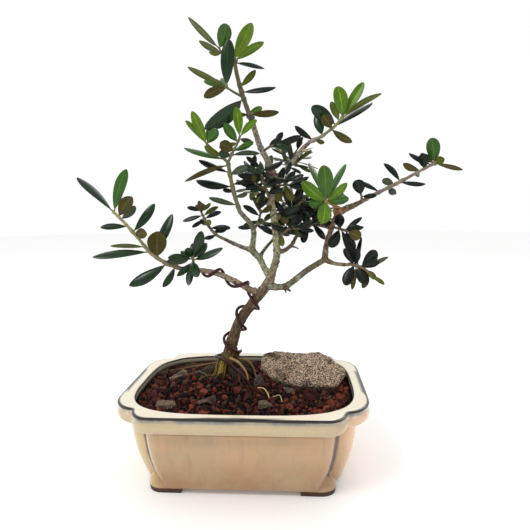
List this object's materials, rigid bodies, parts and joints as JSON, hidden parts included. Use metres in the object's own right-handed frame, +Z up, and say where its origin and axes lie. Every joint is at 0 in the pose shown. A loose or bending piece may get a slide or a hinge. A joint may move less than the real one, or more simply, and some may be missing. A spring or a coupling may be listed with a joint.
{
  "type": "potted olive bonsai",
  "caption": "Young olive bonsai with a leaning wired trunk and open crown, in a glazed oblong footed pot with lava grit and a flat stone.",
  "frame": {"origin": "middle of the whole plant's box, on the surface that the pot's feet stand on", "axes": "+Z up, +X to the right of the pot's front, +Y to its back"},
  "size_m": [0.2408, 0.1384, 0.2844],
  "materials": {
    "glaze": "gloss",
    "soil": "matte",
    "stone": "matte",
    "chip": "matte",
    "bark": "matte",
    "wire": "satin",
    "leaf": "satin"
  },
  "bodies": {
    "root": {"pot": "glaze", "soil": "soil", "stone": "stone", "chip_1": "chip", "chip_2": "chip", "chip_3": "chip", "chip_4": "chip", "chip_5": "chip", "chip_6": "chip", "trunk": "bark", "leader": "bark", "bough_left": "bark", "bough_right_lower": "bark", "bough_right_upper": "bark", "bough_right_low": "bark", "bough_left_upper": "bark", "bough_left_inner": "bark", "bough_middle": "bark", "bough_middle_right": "bark", "bough_upper_right": "bark", "bough_back_low": "bark", "bough_back_middle": "bark", "bough_back_upper": "bark", "bough_back_right": "bark", "wire": "wire", "leaves_top": "leaf", "leaves_left_upper": "leaf", "leaves_left": "leaf", "leaves_left_low": "leaf", "leaves_left_inner": "leaf", "leaves_upper_right": "leaf", "leaves_right_tip": "leaf", "leaves_rosette": "leaf", "leaves_right_middle": "leaf", "leaves_right_low": "leaf", "leaves_right_bud": "leaf", "leaves_fork": "leaf", "leaves_leader_twig": "leaf", "leaves_leader_knob": "leaf", "leaves_leader_right": "leaf", "leaves_centre_low": "leaf", "leaves_centre": "leaf", "leaves_centre_right": "leaf", "leaves_centre_back": "leaf", "leaves_back_low": "leaf", "leaves_back_middle": "leaf", "leaves_back_upper": "leaf", "leaves_back_right": "leaf"}
  },
  "joints": []
}
